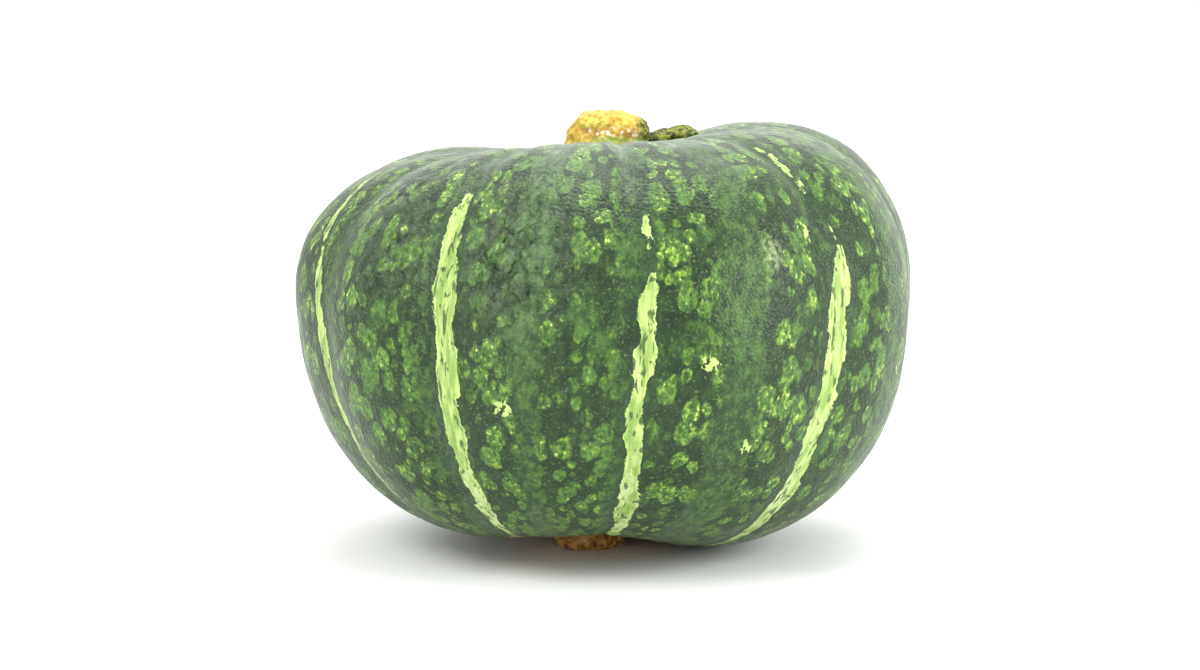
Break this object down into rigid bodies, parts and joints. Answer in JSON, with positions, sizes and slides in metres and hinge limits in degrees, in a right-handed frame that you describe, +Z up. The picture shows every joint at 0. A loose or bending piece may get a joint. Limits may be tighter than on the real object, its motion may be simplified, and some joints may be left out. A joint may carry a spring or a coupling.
{
  "type": "buttercup squash",
  "caption": "Squat lobed dark green winter squash with pale stripes, a short corky stem stump on top and a corky blossom-end button underneath.",
  "frame": {"origin": "on the resting plane, under the middle of the squash's bounding box", "axes": "+Z up from the resting plane, -Y out of the front, +X to the right seen from the front"},
  "size_m": [0.1786, 0.1756, 0.1269],
  "materials": {
    "rind": "satin waxy rind, dark green with mottles and pale green stripes",
    "stem_cork": "rough yellow cork with a green toe",
    "button_cork": "dry brown cork, matte"
  },
  "bodies": {
    "root": {"fruit": "rind", "stem": "stem_cork", "blossom_button": "button_cork"}
  },
  "joints": []
}
